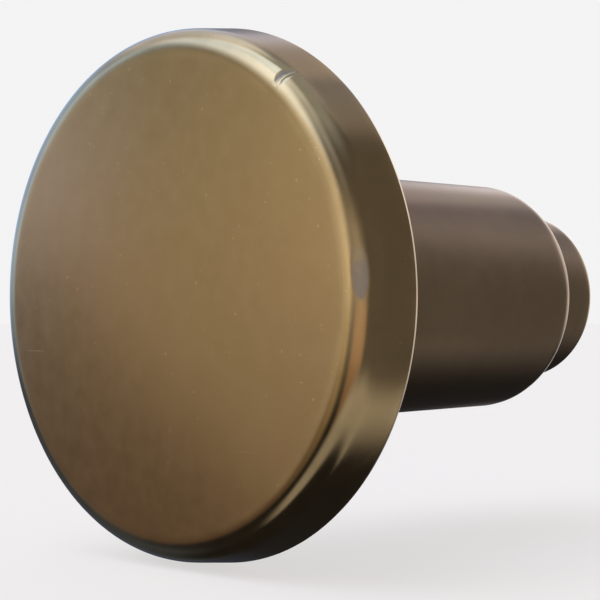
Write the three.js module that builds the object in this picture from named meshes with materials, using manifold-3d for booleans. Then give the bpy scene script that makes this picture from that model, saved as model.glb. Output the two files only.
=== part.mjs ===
// Closed-head through-hull fitting in bronze, in millimetres, +Z up.
// The axis is Y: the round closed head looks along -Y, outboard, and the hose tail points along +Y, inboard.
// The origin is the centre of the hull hole, in the plane of the hull's outer face.
// The head is screwed down on a central spindle: turning it out lets air past its rubber seal into the barrel.
import * as THREE from "three";
import { mergeVertices } from "three/addons/utils/BufferGeometryUtils.js";
import Module from "manifold-3d";

const wasm = await Module();
wasm.setup();

// Driving dimensions. Axial stations are measured from the flange's inboard face, SEAT_PLANE below.
const GAP = 0.3; // clearance left between pieces that touch
const HEAD_R = 47.5; // head, where its rounded front edge ends
const HEAD_FLARE = 1.4; // the skirt is this much wider at its rear rim
const HEAD_DEPTH = 12.7;
const EDGE_R = 4.5; // rounding of the head's front edge
const SKIRT_T = 2.6;
const FACE_T = 3;
const RIM_CHAMFER = 0.4;
const FLANGE_R = 44;
const FLANGE_T = 4.5;
const BARREL_R = 24.15;
const BARREL_L = 83.7;
const BARREL_EDGE_R = 4.7; // rounded shoulder at the barrel's inboard end
const THROAT_R = 16.4; // narrower mouth that the bridge rests against
const BORE_R = 18.2;
const SOCKET_R = 19.2; // socket at the inboard end that takes the tail
const SOCKET_L = 14.6;
const TAIL_R = 18.3;
const TAIL_BORE_R = 14.8;
const TAIL_L = 15; // from the barrel's end to the tail's end
const TAIL_EDGE_R = 1.9;
const GASKET_T = 2;
const SPINDLE_R = 5;
const TRAVEL = 12; // how far the head unscrews
const BRIDGE_Y = 8; // outboard face of the bridge
const BRIDGE_T = 12.3;
const BUSH_R = 8;
const BUSH_END = 22;
const BUSH_FLANGE_T = 2;
const O_RING_Y = BRIDGE_Y + 5.85; // spindle's O-ring, inside the bush
const BOSS_R = 9;
const BOSS_Y = -3.4; // inboard end of the head's boss
const PAD_R = 21; // raised pad inside the head that the retainer is screwed to
const PAD_T = 1.6;
const RETAINER_T = 1.6;
const SEAL_R = 29;
const SEAL_LIP_W = 3.4;
const SCREW_RING_R = 13;
const SCREW_R = 1.2;
const SCREW_HEAD_R = 2.75;
const SCREW_HEAD_H = 1.8;
const SCREW_TIP_Y = -11; // inboard of the head's front skin
const HULL_SCREW_RING_R = 38.5;
const HULL_SCREW_COUNT = 6;
const HULL_SCREW_START = Math.PI / 6; // turn to the first one
const HULL_HOLE_R = 2.6;
const HULL_SINK_R = 5; // countersink at the flange's outboard face
const PIN_Y = -5.75;
const PIN_R = 1.2;
const SPLIT_PIN_R = 1;
const PIN_SIDES = 12; // sides of a pin or of a small hole
const WIRE = 0.7; // thickness of the gauze
const WIRE_PITCH = 5.6;
const SCREEN_WASHER_T = 1;
const ROUND = 40; // sides of a large round
const RIM = 28; // sides of a ring inside the barrel
const FINE = 16; // sides of a small round

const SEAT_PLANE = -(GASKET_T + GAP);
const FACE_Y = -HEAD_DEPTH;
const INNER_FACE_Y = FACE_Y + FACE_T;
const PAD_Y = INNER_FACE_Y + PAD_T;
const RETAINER_Y = PAD_Y + GAP + RETAINER_T; // inboard face of the retainer
const WASHER_Y = BUSH_END + TRAVEL + GAP;
const WASHER_T = 2;
const NUT_Y = WASHER_Y + WASHER_T + GAP;
const NUT_H = 6;
const SPLIT_PIN_Y = NUT_Y + NUT_H + 2;
const SPINDLE_END = SPLIT_PIN_Y + 3.4;
const SNAP_GROOVE_Y = BRIDGE_Y + BRIDGE_T + GAP;
const SNAP_GROOVE_W = 1.7;
const SCREEN_Y = BARREL_L - SOCKET_L + GAP;
const SCREEN_WASHER_Y = SCREEN_Y + WIRE + GAP;
const TAIL_Y = SCREEN_WASHER_Y + SCREEN_WASHER_T + GAP;
const TAIL_GROOVE_Y = TAIL_Y + 2;
const TAIL_GROOVE_W = 2.6;

// Materials

const bronze = (color, roughness) =>
  new THREE.MeshStandardMaterial({ color, roughness, metalness: 1 });
const patinaBronze = () => bronze(0x8f7448, 0.32);
const darkBronze = () => bronze(0x6e573a, 0.36);
const brightBronze = () => bronze(0xa9854f, 0.3);
const steel = () =>
  new THREE.MeshStandardMaterial({ color: 0xa8a9aa, roughness: 0.35, metalness: 1 });
const rubber = () =>
  new THREE.MeshStandardMaterial({ color: 0x1b1b1c, roughness: 0.8, metalness: 0 });
const fibre = () =>
  new THREE.MeshStandardMaterial({ color: 0x6b3a2a, roughness: 0.85, metalness: 0 });

// Geometry helpers

// Revolves a profile of [radius, y] points about Y. Profiles run up the outside.
function lathe(profile, sides = ROUND) {
  return new THREE.LatheGeometry(
    profile.map(([r, y]) => new THREE.Vector2(r, y)),
    sides,
  );
}

// The same, for a ring: its profile closes on itself.
function ring(profile, sides = ROUND) {
  return lathe([...profile, profile[0]], sides);
}

// A plain ring of rectangular section.
function washer(inner, outer, low, high, sides = ROUND) {
  return ring([[inner, low], [outer, low], [outer, high], [inner, high]], sides);
}

// Points of an arc about [r, y], from one angle to another in degrees.
function arc(r, y, radius, from, to, steps = 4) {
  return Array.from({ length: steps + 1 }, (_, i) => {
    const angle = THREE.MathUtils.degToRad(from + ((to - from) * i) / steps);
    return [r + radius * Math.cos(angle), y + radius * Math.sin(angle)];
  });
}

function rodAlongY(radius, low, high, sides = FINE) {
  return new THREE.CylinderGeometry(radius, radius, high - low, sides).translate(
    0,
    (low + high) / 2,
    0,
  );
}

function rodAlongX(radius, length, y, sides = FINE) {
  return new THREE.CylinderGeometry(radius, radius, length, sides)
    .rotateZ(Math.PI / 2)
    .translate(0, y, 0);
}

// A closed geometry as a manifold-3d solid.
function solid(geometry) {
  const bare = geometry.clone();
  bare.deleteAttribute("normal");
  bare.deleteAttribute("uv");
  const merged = mergeVertices(bare, 1e-3);
  return new wasm.Manifold(
    new wasm.Mesh({
      numProp: 3,
      vertProperties: new Float32Array(merged.attributes.position.array),
      triVerts: new Uint32Array(merged.index.array),
    }),
  );
}

function geometryOf(made) {
  const mesh = made.getMesh();
  return new THREE.BufferGeometry()
    .setAttribute("position", new THREE.BufferAttribute(mesh.vertProperties, 3))
    .setIndex(new THREE.BufferAttribute(mesh.triVerts, 1));
}

function cut(geometry, ...tools) {
  return geometryOf(tools.reduce((made, tool) => made.subtract(solid(tool)), solid(geometry)));
}

function join(geometry, ...others) {
  return geometryOf(others.reduce((made, other) => made.add(solid(other)), solid(geometry)));
}

// Copies of a geometry spaced evenly about Y.
function around(geometry, count, firstTurn = 0) {
  return Array.from({ length: count }, (_, i) =>
    geometry.clone().rotateY(firstTurn + (2 * Math.PI * i) / count),
  );
}

// The moving head

function headCap() {
  const rimR = HEAD_R + HEAD_FLARE;
  const innerR = rimR - SKIRT_T;
  const cornerR = 2;
  const collarR = SEAL_R + 2.4; // low collar round the seal
  const spindleHoleEnd = INNER_FACE_Y + 0.4;
  const screwHoleEnd = SCREW_TIP_Y - 0.4;
  const cap = lathe([
    [0, FACE_Y],
    ...arc(HEAD_R - EDGE_R, FACE_Y + EDGE_R, EDGE_R, -90, 0, 4),
    [rimR, -RIM_CHAMFER],
    [rimR - RIM_CHAMFER, 0],
    [innerR, 0],
    [innerR - HEAD_FLARE, INNER_FACE_Y + cornerR],
    [innerR - HEAD_FLARE - cornerR, INNER_FACE_Y],
    [collarR, INNER_FACE_Y],
    [collarR, PAD_Y],
    [SEAL_R + GAP, PAD_Y],
    [SEAL_R + GAP, INNER_FACE_Y],
    [PAD_R, INNER_FACE_Y],
    [PAD_R, PAD_Y],
    [BOSS_R, PAD_Y],
    [BOSS_R, BOSS_Y],
    [SPINDLE_R + GAP, BOSS_Y],
    [SPINDLE_R + GAP, spindleHoleEnd],
    [0, spindleHoleEnd],
  ]);
  const screwHole = rodAlongY(SCREW_R + GAP, screwHoleEnd, PAD_Y + 1, PIN_SIDES).translate(
    SCREW_RING_R,
    0,
    0,
  );
  return cut(
    cap,
    rodAlongX(PIN_R + GAP, 3 * BOSS_R, PIN_Y, PIN_SIDES),
    ...around(screwHole, 4, Math.PI / 4),
  );
}

// A rubber ring with a flat web under the retainer and a lip that closes on the flange.
function sealRing() {
  const back = INNER_FACE_Y + GAP;
  const lip = -FLANGE_T - GAP;
  const chamfer = 0.8;
  const lipStart = lip - chamfer;
  return ring([
    [PAD_R + GAP, back],
    [SEAL_R, back],
    [SEAL_R, lipStart],
    [SEAL_R - chamfer, lip],
    [SEAL_R - SEAL_LIP_W + chamfer, lip],
    [SEAL_R - SEAL_LIP_W, lipStart],
    [SEAL_R - SEAL_LIP_W, PAD_Y - GAP],
    [PAD_R + GAP, PAD_Y - GAP],
  ]);
}

function sealRetainer() {
  const low = RETAINER_Y - RETAINER_T;
  const plate = washer(BOSS_R + 1, SEAL_R - SEAL_LIP_W - GAP, low, RETAINER_Y, RIM);
  const holeR = SCREW_R + 0.5;
  const hole = rodAlongY(holeR, low - 1, RETAINER_Y + 1, PIN_SIDES).translate(SCREW_RING_R, 0, 0);
  return cut(plate, ...around(hole, 4, Math.PI / 4));
}

// A pan-head screw with a cross recess, its head seated on the retainer.
function retainerScrew() {
  const under = RETAINER_Y + GAP;
  const top = under + SCREW_HEAD_H;
  const tipChamfer = 0.5;
  const headChamfer = 0.7;
  const slotL = 2.6;
  const slotW = 0.6;
  const slotDepth = 1;
  const screw = lathe([
    [0, SCREW_TIP_Y],
    [SCREW_R, SCREW_TIP_Y + tipChamfer],
    [SCREW_R, under],
    [SCREW_HEAD_R, under],
    [SCREW_HEAD_R, top - headChamfer],
    [SCREW_HEAD_R - headChamfer, top],
    [0, top],
  ], PIN_SIDES);
  const slot = new THREE.BoxGeometry(slotL, 2 * slotDepth, slotW).translate(0, top, 0);
  return cut(screw, slot, slot.clone().rotateY(Math.PI / 2));
}

function spindle() {
  const start = INNER_FACE_Y + 0.7;
  const chamfer = 0.9;
  const rod = lathe([
    [0, start],
    [SPINDLE_R - chamfer, start],
    [SPINDLE_R, start + chamfer],
    [SPINDLE_R, SPINDLE_END - chamfer],
    [SPINDLE_R - chamfer, SPINDLE_END],
    [0, SPINDLE_END],
  ], FINE);
  return cut(
    rod,
    rodAlongX(PIN_R + GAP, 4 * SPINDLE_R, PIN_Y, PIN_SIDES),
    rodAlongX(SPLIT_PIN_R + GAP, 4 * SPINDLE_R, SPLIT_PIN_Y, PIN_SIDES),
  );
}

function spindlePin() {
  const length = 2 * BOSS_R - 1;
  return rodAlongX(PIN_R, length, PIN_Y, PIN_SIDES);
}

function stopNut() {
  const acrossFlats = 17;
  const chamfer = 0.9;
  const cornerR = acrossFlats / Math.sqrt(3);
  const turnedR = cornerR + 0.2;
  const top = NUT_Y + NUT_H;
  const hexagon = new THREE.CylinderGeometry(cornerR, cornerR, NUT_H, 6).translate(
    0,
    NUT_Y + NUT_H / 2,
    0,
  );
  const turned = lathe([
    [0, NUT_Y],
    [cornerR - chamfer, NUT_Y],
    [turnedR, NUT_Y + chamfer],
    [turnedR, top - chamfer],
    [cornerR - chamfer, top],
    [0, top],
  ], FINE);
  const bore = rodAlongY(SPINDLE_R + GAP, NUT_Y - 1, top + 1);
  return geometryOf(solid(hexagon).intersect(solid(turned)).subtract(solid(bore)));
}

// A split pin: a round shank with a flat eye at one end and its legs bent round the spindle.
function splitPin() {
  const reach = SPINDLE_R + 1.4;
  const eyeR = 1.9;
  const eyeWireR = 0.85;
  const path = new THREE.CatmullRomCurve3([
    new THREE.Vector3(-reach - 0.2, 0, 0),
    new THREE.Vector3(0, 0, 0),
    new THREE.Vector3(reach, 0, 0),
    new THREE.Vector3(reach + 1, 0.2, 1.6),
    new THREE.Vector3(reach + 0.6, 0.3, 4),
  ]);
  const section = new THREE.Shape().absarc(0, 0, SPLIT_PIN_R, 0, 2 * Math.PI);
  const legs = new THREE.ExtrudeGeometry(section, {
    extrudePath: path,
    steps: 12,
    curveSegments: 5,
  });
  const eye = new THREE.TorusGeometry(eyeR, eyeWireR, 6, 12)
    .rotateX(Math.PI / 2)
    .translate(-reach - eyeR, 0, 0);
  return join(legs, eye);
}

// The loose thrust washer between the bush and the stop nut

function thrustWasher() {
  return washer(SPINDLE_R + GAP, BUSH_R + 3, WASHER_Y, WASHER_Y + WASHER_T, FINE);
}

// The fixed body

function hullBarrel() {
  const end = BARREL_L;
  const filletR = 1.6;
  const grooveR = BORE_R + 1.3;
  const chamfer = 0.8;
  const flangeChamfer = 1;
  const socketChamfer = 0.4;
  const body = ring([
    [THROAT_R + chamfer, -FLANGE_T],
    [FLANGE_R - flangeChamfer, -FLANGE_T],
    [FLANGE_R, -FLANGE_T + flangeChamfer],
    [FLANGE_R, 0],
    [BARREL_R + filletR, 0],
    [BARREL_R, filletR],
    ...arc(BARREL_R - BARREL_EDGE_R, end - BARREL_EDGE_R, BARREL_EDGE_R, 0, 90, 5),
    [SOCKET_R + 0.1, end],
    [SOCKET_R, end - socketChamfer],
    [SOCKET_R, end - SOCKET_L],
    [BORE_R, end - SOCKET_L],
    [BORE_R, SNAP_GROOVE_Y + SNAP_GROOVE_W],
    [grooveR, SNAP_GROOVE_Y + SNAP_GROOVE_W],
    [grooveR, SNAP_GROOVE_Y],
    [BORE_R, SNAP_GROOVE_Y],
    [BORE_R, BRIDGE_Y - GAP],
    [THROAT_R, BRIDGE_Y - GAP],
    [THROAT_R, -FLANGE_T + chamfer],
  ]);
  const sinkDepth = HULL_SINK_R - HULL_HOLE_R;
  const screwHole = lathe([
    [0, -FLANGE_T - 1],
    [HULL_SINK_R + 1, -FLANGE_T - 1],
    [HULL_SINK_R, -FLANGE_T],
    [HULL_HOLE_R, -FLANGE_T + sinkDepth],
    [HULL_HOLE_R, 1],
    [0, 1],
  ], PIN_SIDES).translate(HULL_SCREW_RING_R, 0, 0);
  return cut(body, ...around(screwHole, HULL_SCREW_COUNT, HULL_SCREW_START));
}

function hullGasket() {
  const innerR = BARREL_R + 2.3;
  const holeR = HULL_HOLE_R + 0.2;
  const plate = washer(innerR, FLANGE_R, GAP, GAP + GASKET_T);
  const hole = rodAlongY(holeR, -1, GASKET_T + 2, PIN_SIDES).translate(HULL_SCREW_RING_R, 0, 0);
  return cut(plate, ...around(hole, HULL_SCREW_COUNT, HULL_SCREW_START));
}

// The four-armed bridge across the bore that carries the spindle's bush.
function bridge() {
  const armW = 5.5;
  const armT = BRIDGE_T - 3;
  const armR = BORE_R - GAP;
  const bossR = BUSH_R + 3;
  const footT = 2;
  const top = BRIDGE_Y + BRIDGE_T;
  const arm = new THREE.BoxGeometry(2 * armR + 2, armT, armW).translate(0, BRIDGE_Y + armT / 2, 0);
  const boss = rodAlongY(bossR, BRIDGE_Y, top);
  const foot = washer(armR - footT, armR, BRIDGE_Y, top - GAP, RIM);
  const within = rodAlongY(armR, BRIDGE_Y - 1, top + 1, RIM);
  const bore = rodAlongY(BUSH_R + GAP, BRIDGE_Y - 1, top + 1);
  return geometryOf(
    solid(join(arm, arm.clone().rotateY(Math.PI / 2), boss, foot))
      .intersect(solid(within))
      .subtract(solid(bore)),
  );
}

function spindleBush() {
  const innerR = SPINDLE_R + GAP;
  const grooveR = innerR + 1.6;
  const halfGroove = 0.95;
  const chamfer = 0.6;
  const flangeR = BUSH_R + 2;
  const flangeY = BRIDGE_Y - GAP;
  return ring([
    [innerR, flangeY - BUSH_FLANGE_T],
    [flangeR, flangeY - BUSH_FLANGE_T],
    [flangeR, flangeY],
    [BUSH_R, flangeY],
    [BUSH_R, BUSH_END - chamfer],
    [BUSH_R - chamfer, BUSH_END],
    [innerR, BUSH_END],
    [innerR, O_RING_Y + halfGroove],
    [grooveR, O_RING_Y + halfGroove],
    [grooveR, O_RING_Y - halfGroove],
    [innerR, O_RING_Y - halfGroove],
  ], FINE);
}

function spindleORing() {
  const ringR = SPINDLE_R + 1.1;
  const sectionR = 0.7;
  return ring(arc(ringR, O_RING_Y, sectionR, 0, 300, 5), FINE);
}

// An internal snap ring, open at the bottom, with a lug each side of its gap.
function bridgeSnapRing() {
  const outerR = BORE_R + 1;
  const innerR = BORE_R - 1.6;
  const halfGap = 0.2;
  const low = SNAP_GROOVE_Y + 0.25;
  const thick = 1.2;
  const lugR = 2.2;
  const lugHoleR = 0.8;
  const lugX = 5.6;
  const lugZ = 1 - innerR;
  const shape = new THREE.Shape();
  shape.absarc(0, 0, outerR, Math.PI / 2 + halfGap, Math.PI * 2.5 - halfGap, false);
  shape.absarc(0, 0, innerR, Math.PI / 2 - halfGap, Math.PI / 2 + halfGap, true);
  const band = new THREE.ExtrudeGeometry(shape, {
    depth: thick,
    bevelEnabled: false,
    curveSegments: 24,
  })
    .rotateX(-Math.PI / 2)
    .translate(0, low, 0);
  const lugs = [-lugX, lugX].map((x) => rodAlongY(lugR, low, low + thick).translate(x, 0, lugZ));
  const holes = [-lugX, lugX].map((x) =>
    rodAlongY(lugHoleR, low - 1, low + thick + 1, PIN_SIDES).translate(x, 0, lugZ),
  );
  return cut(join(band, ...lugs), ...holes);
}

// Woven gauze, simplified to crossing bars in a rim.
function gauzeScreen() {
  const rimR = SOCKET_R - GAP;
  const rimW = 2;
  const rows = 2;
  const bars = [];
  for (let i = -rows; i <= rows; i++) {
    const offset = i * WIRE_PITCH;
    const length = 2 * Math.sqrt((rimR - 1) ** 2 - offset ** 2);
    const bar = new THREE.BoxGeometry(length, WIRE, WIRE).translate(0, SCREEN_Y + WIRE / 2, offset);
    bars.push(bar, bar.clone().rotateY(Math.PI / 2));
  }
  return join(washer(rimR - rimW, rimR, SCREEN_Y, SCREEN_Y + WIRE, RIM), ...bars);
}

function screenWasher() {
  const top = SCREEN_WASHER_Y + SCREEN_WASHER_T;
  const innerR = SOCKET_R - 3.4;
  return washer(innerR, SOCKET_R - GAP, SCREEN_WASHER_Y, top, RIM);
}

function tail() {
  const socketR = SOCKET_R - GAP;
  const grooveR = socketR - 1.9;
  const grooveEnd = TAIL_GROOVE_Y + TAIL_GROOVE_W;
  const end = BARREL_L + TAIL_L;
  const mouthChamfer = 1.5;
  const chamfer = 0.7;
  const shoulderY = BARREL_L - GAP;
  const shoulderH = socketR - TAIL_R;
  return ring([
    [TAIL_BORE_R + mouthChamfer, TAIL_Y],
    [socketR - chamfer, TAIL_Y],
    [socketR, TAIL_Y + chamfer],
    [socketR, TAIL_GROOVE_Y],
    [grooveR, TAIL_GROOVE_Y],
    [grooveR, grooveEnd],
    [socketR, grooveEnd],
    [socketR, shoulderY - shoulderH],
    [TAIL_R, shoulderY],
    ...arc(TAIL_R - TAIL_EDGE_R, end - TAIL_EDGE_R, TAIL_EDGE_R, 0, 90, 3),
    [TAIL_BORE_R, end],
    [TAIL_BORE_R, TAIL_Y + mouthChamfer],
  ]);
}

function tailORing() {
  const sectionR = 0.85;
  const middle = TAIL_GROOVE_Y + TAIL_GROOVE_W / 2;
  return ring(arc(SOCKET_R - GAP - sectionR, middle, sectionR, 0, 300, 5), RIM);
}

// Assembly

function piece(name, geometry, material) {
  const mesh = new THREE.Mesh(geometry, material);
  mesh.name = name;
  return mesh;
}

const movingHead = new THREE.Group();
movingHead.add(
  piece("head_cap", headCap(), patinaBronze()),
  piece("seal_ring", sealRing(), rubber()),
  piece("seal_retainer", sealRetainer(), brightBronze()),
  piece("spindle", spindle(), brightBronze()),
  piece("spindle_pin", spindlePin(), steel()),
  piece("stop_nut", stopNut(), brightBronze()),
);
for (let i = 0; i < 4; i++) {
  const screw = piece(`retainer_screw_${i + 1}`, retainerScrew(), steel());
  const turn = Math.PI / 4 + (i * Math.PI) / 2;
  screw.position.set(SCREW_RING_R * Math.cos(turn), 0, -SCREW_RING_R * Math.sin(turn));
  movingHead.add(screw);
}
const cotter = piece("split_pin", splitPin(), steel());
cotter.position.y = SPLIT_PIN_Y;
movingHead.add(cotter);

const fixedBody = new THREE.Group();
fixedBody.add(
  piece("hull_barrel", hullBarrel(), darkBronze()),
  piece("hull_gasket", hullGasket(), rubber()),
  piece("bridge", bridge(), brightBronze()),
  piece("spindle_bush", spindleBush(), brightBronze()),
  piece("spindle_o_ring", spindleORing(), rubber()),
  piece("bridge_snap_ring", bridgeSnapRing(), steel()),
  piece("gauze_screen", gauzeScreen(), steel()),
  piece("screen_washer", screenWasher(), fibre()),
  piece("hose_tail", tail(), darkBronze()),
  piece("tail_o_ring", tailORing(), rubber()),
);

const fitting = new THREE.Group();
fitting.add(movingHead, fixedBody, piece("thrust_washer", thrustWasher(), steel()));
for (const part of fitting.children) part.position.y = SEAT_PLANE;

export default fitting;
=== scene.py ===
"""Looks of the closed-head through-hull fitting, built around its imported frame.

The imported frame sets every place: the head faces -Y, the barrel points along +Y and +Z is up.
Profiles are lists of (radius, y, rounding) corners in millimetres. Their y is counted from the plane of
the head's rear rim, and they run so that the metal lies on their left.
"""
import math

import bmesh
import bpy
from mathutils import Matrix, Vector


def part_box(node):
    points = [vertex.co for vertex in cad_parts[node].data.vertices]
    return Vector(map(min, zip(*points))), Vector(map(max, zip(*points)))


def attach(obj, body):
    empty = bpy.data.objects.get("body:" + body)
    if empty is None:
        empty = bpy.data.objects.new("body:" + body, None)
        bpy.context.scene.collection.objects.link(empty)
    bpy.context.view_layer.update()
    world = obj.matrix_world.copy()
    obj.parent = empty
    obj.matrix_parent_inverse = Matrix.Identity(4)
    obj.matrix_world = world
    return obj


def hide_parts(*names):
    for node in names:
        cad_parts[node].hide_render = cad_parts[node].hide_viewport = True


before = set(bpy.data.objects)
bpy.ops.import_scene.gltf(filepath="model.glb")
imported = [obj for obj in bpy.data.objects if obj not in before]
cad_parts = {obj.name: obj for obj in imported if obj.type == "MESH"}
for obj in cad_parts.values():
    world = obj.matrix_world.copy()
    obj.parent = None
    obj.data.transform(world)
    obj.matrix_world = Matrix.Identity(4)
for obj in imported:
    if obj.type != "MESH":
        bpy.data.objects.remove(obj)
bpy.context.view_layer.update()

MM = 0.001
RIM_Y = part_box("head_cap")[1][1] / MM  # the head's rear rim, at rest
GAP = 0.3  # clearance that the frame leaves between touching pieces

# Sizes in millimetres, taken from the frame's nodes where it has them.


def reach(node, end, axis):
    """A node's lowest (0) or highest (1) coordinate along an axis, from the rim plane on Y."""
    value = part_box(node)[end][axis] / MM
    return value - RIM_Y if axis == 1 else value


FACE_Y = reach("head_cap", 0, 1)
RIM_R = reach("head_cap", 1, 2)
RIM_CHAMFER = (0.38, 0.85)  # how far it goes in across the rim, and along the side
HEAD_R = RIM_R - 1.4  # the head's side flares by this much towards its rim
EDGE_R = 4.5
EDGE_CURVE_R = EDGE_R + 0.6  # a fuller curve that stands for that rounding
EDGE_FULLNESS = 2.6
FLANGE_Y = reach("hull_barrel", 0, 1)
FLANGE_R = reach("hull_barrel", 1, 2)
BARREL_R = 24.15
BARREL_END = reach("hull_barrel", 1, 1)
SHOULDER_R = 4.7
SOCKET_R = 19.2
SOCKET_L = 14.6
BORE_R = 18.2
THROAT_R = 16.4
THROAT_END = 7.7
TAIL_R = 18.3
TAIL_BORE_R = 14.8
TAIL_END = reach("hose_tail", 1, 1)
TAIL_START = reach("hose_tail", 0, 1)
SPINDLE_R = 5
THREAD_PITCH = 3
THREAD_DEPTH = 1
BUSH_R = 8
BUSH_HEAD_R = 10
BOSS_R = 11  # the bridge's boss, and the thrust washer beside it
NUT_FLATS = 17
SCREW_RING_R = 13
HULL_SCREW_RING_R = 38.5
HULL_SCREWS = 6
HULL_SCREW_START = math.pi / 6
HULL_HOLE_R = 2.6
HULL_SINK_R = 5
INNER_FACE_Y = FACE_Y + 3  # the face is this thick
PAD_Y = INNER_FACE_Y + 1.6  # the raised pad round the spindle's boss
PAD_R = 21
SEAL_R = 29
SEAL_WALL_R = SEAL_R + 2.4
PIN_Y = (reach("spindle_pin", 0, 1) + reach("spindle_pin", 1, 1)) / 2
PIN_HOLE_R = 1.5
SPLIT_PIN_Y = reach("stop_nut", 1, 1) + 2
SPLIT_PIN_HOLE_R = 1.3


# Mesh building


def rounded(corners, closed, spacing, fullness=2.0):
    """Corners turned into (radius, y, wear) points, with a curve at each rounding.

    A fullness of 2 makes the curve round, and more brings it nearer to the corner.
    """
    points = []
    count = len(corners)
    for i, (r, y, radius) in enumerate(corners):
        here = Vector((r, y))
        if radius == 0 or (not closed and i in (0, count - 1)):
            points.append((here, 0.0))
            continue
        before = (here - Vector(corners[i - 1][:2])).normalized()
        after = (Vector(corners[(i + 1) % count][:2]) - here).normalized()
        turn = math.atan2(before.x * after.y - before.y * after.x, before.dot(after))
        inset = radius * math.tan(abs(turn) / 2)
        start, end = here - before * inset, here + after * inset
        middle = start + end - here
        steps = max(3, math.ceil(abs(turn) * radius / spacing), math.ceil(abs(turn) / 0.28))
        worn = 1 / (1 + radius / 2) if turn > 0 else 0.0
        for k in range(steps + 1):
            angle = math.pi / 2 * k / steps
            near_start = max(0.0, math.cos(angle)) ** (2 / fullness)
            near_end = math.sin(angle) ** (2 / fullness)
            points.append((middle + (start - middle) * near_start + (end - middle) * near_end, worn))
    return subdivided(points, closed, spacing)


def subdivided(points, closed, spacing):
    """The same points with long stretches divided, and wear that fades away from the rounded corners."""
    fine = []
    last = len(points) if closed else len(points) - 1
    for i in range(last):
        (a, worn_a), (b, worn_b) = points[i], points[(i + 1) % len(points)]
        length = (b - a).length
        steps = max(1, math.ceil(length / spacing))
        for k in range(steps):
            along = length * k / steps
            fade = max(worn_a * math.exp(-along / 0.8), worn_b * math.exp(-(length - along) / 0.8))
            fine.append((*a.lerp(b, k / steps), fade))
    if not closed:
        fine.append((*points[-1][0], points[-1][1]))
    return fine


def even_turns(count):
    return [2 * math.pi * i / count for i in range(count)]


def new_object(name, verts, faces, wear=None):
    """An object from millimetre points, moved to the rim plane and scaled to metres."""
    mesh = bpy.data.meshes.new(name)
    shifted = [(x * MM, (y + RIM_Y) * MM, z * MM) for x, y, z in verts]
    mesh.from_pydata(shifted, [], faces)
    layer = mesh.attributes.new("wear", "FLOAT", "POINT")
    if wear:
        layer.data.foreach_set("value", wear)
    mesh.validate()
    obj = bpy.data.objects.new(name, mesh)
    bpy.context.scene.collection.objects.link(obj)
    return obj


def smooth(obj, angle=28):
    """Smooth shading, with edges sharper than the angle kept crisp."""
    obj.data.polygons.foreach_set("use_smooth", [True] * len(obj.data.polygons))
    obj.data.set_sharp_from_angle(angle=math.radians(angle))
    return obj


def spin(name, corners, closed=False, turns=None, spacing=1.5, press=None, rub=None, fullness=2.0):
    """A piece revolved about Y. press(turn, r, y) is how far it is pushed in, and rub how grey it is."""
    turns = turns or even_turns(160)
    outline = rounded(corners, closed, spacing, fullness)
    verts, wear, grey, rings = [], [], [], []
    for i, (r, y, worn) in enumerate(outline):
        if r < 1e-6:
            rings.append([len(verts)] * len(turns))
            verts.append((0, y, 0))
            wear.append(worn)
            grey.append(0.0)
            continue
        ahead = outline[(i + 1) % len(outline)]
        behind = outline[i - 1]
        out = Vector((ahead[1] - behind[1], behind[0] - ahead[0])).normalized()
        rings.append(list(range(len(verts), len(verts) + len(turns))))
        for turn in turns:
            depth = press(turn, r, y) if press else 0
            rr, yy = r - out.x * depth, y - out.y * depth
            verts.append((rr * math.sin(turn), yy, rr * math.cos(turn)))
            wear.append(min(1.0, worn + depth * 2))
            grey.append(rub(turn, r, y) if rub else 0.0)
    faces = []
    pairs = zip(rings, rings[1:] + rings[:1] if closed else rings[1:])
    for low, high in pairs:
        for k in range(len(turns)):
            k2 = (k + 1) % len(turns)
            quad = [low[k], low[k2], high[k2], high[k]]
            faces.append(list(dict.fromkeys(quad)))
    obj = new_object(name, verts, faces, wear)
    if rub:
        layer = obj.data.attributes.new("rubbed", "FLOAT", "POINT")
        layer.data.foreach_set("value", grey)
    return smooth(obj)


def washer_profile(inner, outer, low, high, edge=0.25):
    return [(inner, low, edge), (outer, low, edge), (outer, high, edge), (inner, high, edge)]


def box(name, low, high):
    """A plain block between two corners, in millimetres: a tool for cutting, or a bar to bevel."""
    corners = [(x, y, z) for x in (low[0], high[0]) for y in (low[1], high[1]) for z in (low[2], high[2])]
    faces = [(0, 1, 3, 2), (4, 6, 7, 5), (0, 4, 5, 1), (2, 3, 7, 6), (0, 2, 6, 4), (1, 5, 7, 3)]
    return new_object(name, corners, faces)


def boolean(obj, tool, operation):
    """Applies one exact boolean and removes the tool."""
    step = obj.modifiers.new("cut", "BOOLEAN")
    step.operation = operation
    step.solver = "EXACT"
    step.object = tool
    apply_modifiers(obj)
    bpy.data.objects.remove(tool)
    return obj


def apply_modifiers(obj):
    graph = bpy.context.evaluated_depsgraph_get()
    mesh = bpy.data.meshes.new_from_object(obj.evaluated_get(graph))
    obj.modifiers.clear()
    obj.data = mesh


def bevel(obj, width, segments=2, angle=40):
    step = obj.modifiers.new("bevel", "BEVEL")
    step.width = width * MM
    step.segments = segments
    step.limit_method = "ANGLE"
    step.angle_limit = math.radians(angle)
    apply_modifiers(obj)
    return smooth(obj)


def turn_about_y(obj, angle):
    obj.data.transform(Matrix.Rotation(angle, 4, "Y"))
    return obj


def shift(obj, x=0, y=0, z=0):
    obj.data.transform(Matrix.Translation((x * MM, y * MM, z * MM)))
    return obj


def lie_along_x(obj, y):
    """Turns a piece made about Y, centred on 0, to lie along X at a height y above the rim plane."""
    to_origin = Matrix.Translation((0, -RIM_Y * MM, 0))
    back = Matrix.Translation((0, (y + RIM_Y) * MM, 0))
    obj.data.transform(back @ Matrix.Rotation(math.radians(-90), 4, "Z") @ to_origin)
    return obj


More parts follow.
